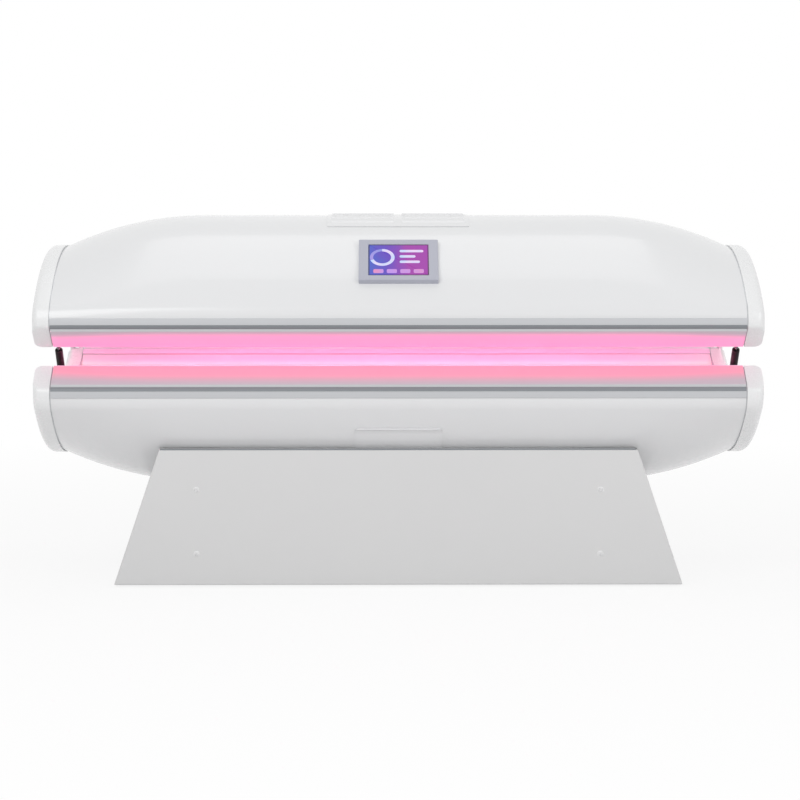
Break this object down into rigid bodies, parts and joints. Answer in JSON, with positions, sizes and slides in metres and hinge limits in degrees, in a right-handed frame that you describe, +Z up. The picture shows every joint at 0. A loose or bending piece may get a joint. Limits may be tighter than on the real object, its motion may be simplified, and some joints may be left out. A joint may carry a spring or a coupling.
{
  "type": "red light therapy bed",
  "caption": "Clamshell light therapy bed on a plinth: domed canopy hinged at the rear over a mirrored base, lit tunnel, gas springs and a touch screen.",
  "frame": {"origin": "on the floor under the middle of the bed", "axes": "+X along the bed's length, +Y towards the hinged rear side, +Z up"},
  "size_m": [2, 0.9, 1.0282],
  "materials": {
    "skin_white": "gloss white moulding",
    "cap_white": "gloss white moulding",
    "rail_silver": "satin anodised extrusion",
    "frame_steel": "grey powder coat",
    "acrylic_clear": "clear polished sheet",
    "seal_rubber": "matt black extrusion",
    "tray_aluminium": "bright rolled sheet",
    "board_white": "white board with lit red and infrared diodes",
    "driver_metal": "dark anodised housing",
    "fan_black": "moulded black",
    "bezel_grey": "satin silver grey",
    "screen_display": "lit touch display under glass",
    "spring_black": "gloss black",
    "rod_chrome": "hard chrome",
    "hinge_white": "white powder coat",
    "pin_steel": "turned steel",
    "bush_brass": "turned bronze",
    "stand_grey": "light grey powder coat",
    "foot_rubber": "black rubber",
    "inlet_black": "moulded black",
    "switch_red": "translucent red moulding"
  },
  "bodies": {
    "base": {"access_cover": "skin_white", "base_acrylic": "acrylic_clear", "base_cap_screws": "pin_steel", "base_drivers": "driver_metal", "base_end_cap_left": "cap_white", "base_end_cap_right": "cap_white", "base_end_frames": "frame_steel", "base_fan_bracket": "frame_steel", "base_fan_frames": "fan_black", "base_frame_tubes": "frame_steel", "base_led_boards": "board_white", "base_led_tray": "tray_aluminium", "base_rails": "rail_silver", "base_seals": "seal_rubber", "base_shell": "skin_white", "base_vent_grille": "skin_white", "hinge_pins": "pin_steel", "hinge_posts": "hinge_white", "lower_spring_studs": "pin_steel", "panel_screws": "pin_steel", "power_box": "driver_metal", "power_inlet": "inlet_black", "rear_light_shield": "hinge_white", "stand_feet": "foot_rubber", "stand_floor_frame": "frame_steel", "stand_front_panel": "stand_grey", "stand_legs": "frame_steel", "stand_rear_panel": "stand_grey", "stand_side_panels": "stand_grey"},
    "canopy": {"canopy_acrylic": "acrylic_clear", "canopy_cap_screws": "pin_steel", "canopy_drivers": "driver_metal", "canopy_end_cap_left": "cap_white", "canopy_end_cap_right": "cap_white", "canopy_end_frames": "frame_steel", "canopy_fan_bracket": "frame_steel", "canopy_fan_frames": "fan_black", "canopy_frame_tubes": "frame_steel", "canopy_led_boards": "board_white", "canopy_led_tray": "tray_aluminium", "canopy_rails": "rail_silver", "canopy_seals": "seal_rubber", "canopy_shell": "skin_white", "canopy_vent_grille": "skin_white", "hinge_arms": "spring_black", "hinge_bushes": "bush_brass", "screen_bezel": "bezel_grey", "screen_glass": "screen_display", "screen_housing": "fan_black", "upper_spring_studs": "pin_steel"},
    "gas_cylinder_left": {"spring_cylinder_left": "spring_black"},
    "gas_cylinder_right": {"spring_cylinder_right": "spring_black"},
    "gas_rod_left": {"spring_rod_left": "rod_chrome"},
    "gas_rod_right": {"spring_rod_right": "rod_chrome"},
    "canopy_fan_left": {"canopy_fan_rotor_left": "fan_black"},
    "canopy_fan_right": {"canopy_fan_rotor_right": "fan_black"},
    "base_fan_left": {"base_fan_rotor_left": "fan_black"},
    "base_fan_right": {"base_fan_rotor_right": "fan_black"},
    "switch": {"switch_rocker": "switch_red"}
  },
  "joints": [
    {"name": "canopy_hinge", "type": "hinge", "parent": "base", "child": "canopy", "pos_m": [0, 0.395, 0.642], "axis": [-1, 0, 0], "range_deg": [0, 45], "stiffness_Nm_per_rad": 165, "springref_deg": 94.54},
    {"name": "spring_swing_left", "type": "hinge", "parent": "base", "child": "gas_cylinder_left", "pos_m": [-0.976, 0.15, 0.43], "axis": [-1, 0, 0], "range_deg": [0, 38.3]},
    {"name": "spring_stroke_left", "type": "slide", "parent": "gas_cylinder_left", "child": "gas_rod_left", "axis": [0, -0.6766, 0.7363], "range_m": [0, 0.2375]},
    {"name": "spring_swing_right", "type": "hinge", "parent": "base", "child": "gas_cylinder_right", "pos_m": [0.976, 0.15, 0.43], "axis": [-1, 0, 0], "range_deg": [0, 38.3]},
    {"name": "spring_stroke_right", "type": "slide", "parent": "gas_cylinder_right", "child": "gas_rod_right", "axis": [0, -0.6766, 0.7363], "range_m": [0, 0.2375]},
    {"name": "canopy_fan_spin_left", "type": "hinge", "parent": "canopy", "child": "canopy_fan_left", "pos_m": [-0.1, 0, 0.987], "axis": [0, 0, 1], "continuous": true},
    {"name": "canopy_fan_spin_right", "type": "hinge", "parent": "canopy", "child": "canopy_fan_right", "pos_m": [0.1, 0, 0.987], "axis": [0, 0, 1], "continuous": true},
    {"name": "base_fan_spin_left", "type": "hinge", "parent": "base", "child": "base_fan_left", "pos_m": [-0.1, 0, 0.297], "axis": [0, 0, 1], "continuous": true},
    {"name": "base_fan_spin_right", "type": "hinge", "parent": "base", "child": "base_fan_right", "pos_m": [0.1, 0, 0.297], "axis": [0, 0, 1], "continuous": true},
    {"name": "switch_rock", "type": "hinge", "parent": "base", "child": "switch", "pos_m": [-0.036, 0.3695, 0.15], "axis": [0, 0, 1], "range_deg": [0, 16]}
  ],
  "couplings": [
    {"joint": "spring_swing_left", "follows": "canopy_hinge", "ratio": 0.84812},
    {"joint": "spring_stroke_left", "follows": "canopy_hinge", "m_per_rad": 0.30186},
    {"joint": "spring_swing_right", "follows": "canopy_hinge", "ratio": 0.84812},
    {"joint": "spring_stroke_right", "follows": "canopy_hinge", "m_per_rad": 0.30186}
  ]
}
